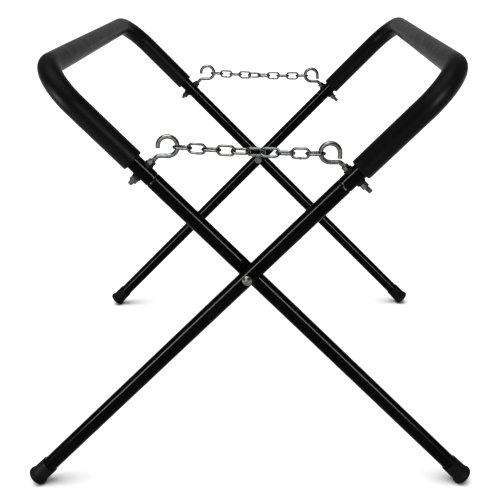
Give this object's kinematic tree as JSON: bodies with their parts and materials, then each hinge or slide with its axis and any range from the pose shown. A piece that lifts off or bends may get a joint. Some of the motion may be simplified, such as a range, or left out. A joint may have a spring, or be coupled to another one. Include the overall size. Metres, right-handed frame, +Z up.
{
  "type": "folding sawhorse",
  "caption": "Folding X-frame sawhorse with foam-padded steel crossbars, hooked chains that limit its spread, and rubber foot caps.",
  "frame": {"origin": "floor level under the middle of the X, at the centre of the bounding box's bottom", "axes": "+Z up, +Y along the padded crossbars and the pivot line from front to rear, +X from the top of frame A towards the top of frame B"},
  "size_m": [0.9228, 0.9692, 0.8838],
  "materials": {
    "black_enamel": "satin black powder coat",
    "black_foam": "matte closed-cell foam sleeve",
    "black_rubber": "matte moulded rubber",
    "zinc_plate": "bright zinc plate",
    "chain_plate": "bright zinc plate, slightly rubbed",
    "pivot_plate": "bright plated steel",
    "spacer_plastic": "black nylon"
  },
  "bodies": {
    "frame_a": {"foam_pad_a": "black_foam", "foot_cap_a_front": "black_rubber", "foot_cap_a_rear": "black_rubber", "hook_bolt_front": "zinc_plate", "hook_bolt_rear": "zinc_plate", "hook_inner_nut_front": "zinc_plate", "hook_inner_nut_rear": "zinc_plate", "hook_outer_nut_front": "zinc_plate", "hook_outer_nut_rear": "zinc_plate", "hook_washers_front": "spacer_plastic", "hook_washers_rear": "spacer_plastic", "leg_a_front": "black_enamel", "leg_a_rear": "black_enamel", "pivot_bolt_front": "pivot_plate", "pivot_bolt_rear": "pivot_plate", "pivot_nut_front": "pivot_plate", "pivot_nut_rear": "pivot_plate", "pivot_spacer_front": "spacer_plastic", "pivot_spacer_rear": "spacer_plastic", "pivot_washer_front": "pivot_plate", "pivot_washer_rear": "pivot_plate", "top_tube_a": "black_enamel"},
    "frame_b": {"eye_bolt_front": "zinc_plate", "eye_bolt_rear": "zinc_plate", "eye_inner_nut_front": "zinc_plate", "eye_inner_nut_rear": "zinc_plate", "eye_outer_nut_front": "zinc_plate", "eye_outer_nut_rear": "zinc_plate", "eye_washers_front": "spacer_plastic", "eye_washers_rear": "spacer_plastic", "foam_pad_b": "black_foam", "foot_cap_b_front": "black_rubber", "foot_cap_b_rear": "black_rubber", "leg_b_front": "black_enamel", "leg_b_rear": "black_enamel", "top_tube_b": "black_enamel"},
    "chain_front": {"chain_front_link_01": "chain_plate", "chain_front_link_02": "chain_plate", "chain_front_link_03": "chain_plate", "chain_front_link_04": "chain_plate", "chain_front_link_05": "chain_plate", "chain_front_link_06": "chain_plate", "chain_front_link_07": "chain_plate", "chain_front_link_08": "chain_plate", "chain_front_link_09": "chain_plate", "chain_front_link_10": "chain_plate"},
    "chain_rear": {"chain_rear_link_01": "chain_plate", "chain_rear_link_02": "chain_plate", "chain_rear_link_03": "chain_plate", "chain_rear_link_04": "chain_plate", "chain_rear_link_05": "chain_plate", "chain_rear_link_06": "chain_plate", "chain_rear_link_07": "chain_plate", "chain_rear_link_08": "chain_plate", "chain_rear_link_09": "chain_plate", "chain_rear_link_10": "chain_plate"}
  },
  "joints": [
    {"name": "fold", "type": "hinge", "parent": "frame_a", "child": "frame_b", "pos_m": [0, 0, 0.4729], "axis": [0, -1, 0], "range_deg": [0, 82], "deforming": ["chain_front_link_01", "chain_front_link_02", "chain_front_link_03", "chain_front_link_04", "chain_front_link_05", "chain_front_link_06", "chain_front_link_07", "chain_front_link_08", "chain_front_link_09", "chain_front_link_10", "chain_rear_link_01", "chain_rear_link_02", "chain_rear_link_03", "chain_rear_link_04", "chain_rear_link_05", "chain_rear_link_06", "chain_rear_link_07", "chain_rear_link_08", "chain_rear_link_09", "chain_rear_link_10"]},
    {"name": "chain_front_swing", "type": "hinge", "parent": "frame_b", "child": "chain_front", "pos_m": [0.13351, -0.462, 0.71591], "axis": [-0.0902, -0.7616, 0.6417], "range_deg": [0, 11.49]},
    {"name": "chain_rear_swing", "type": "hinge", "parent": "frame_b", "child": "chain_rear", "pos_m": [0.13351, 0.428, 0.71591], "axis": [-0.0902, -0.7616, 0.6417], "range_deg": [0, 11.49]}
  ],
  "couplings": [
    {"joint": "chain_front_swing", "follows": "fold", "ratio": 0.13951},
    {"joint": "chain_rear_swing", "follows": "fold", "ratio": 0.13951}
  ]
}
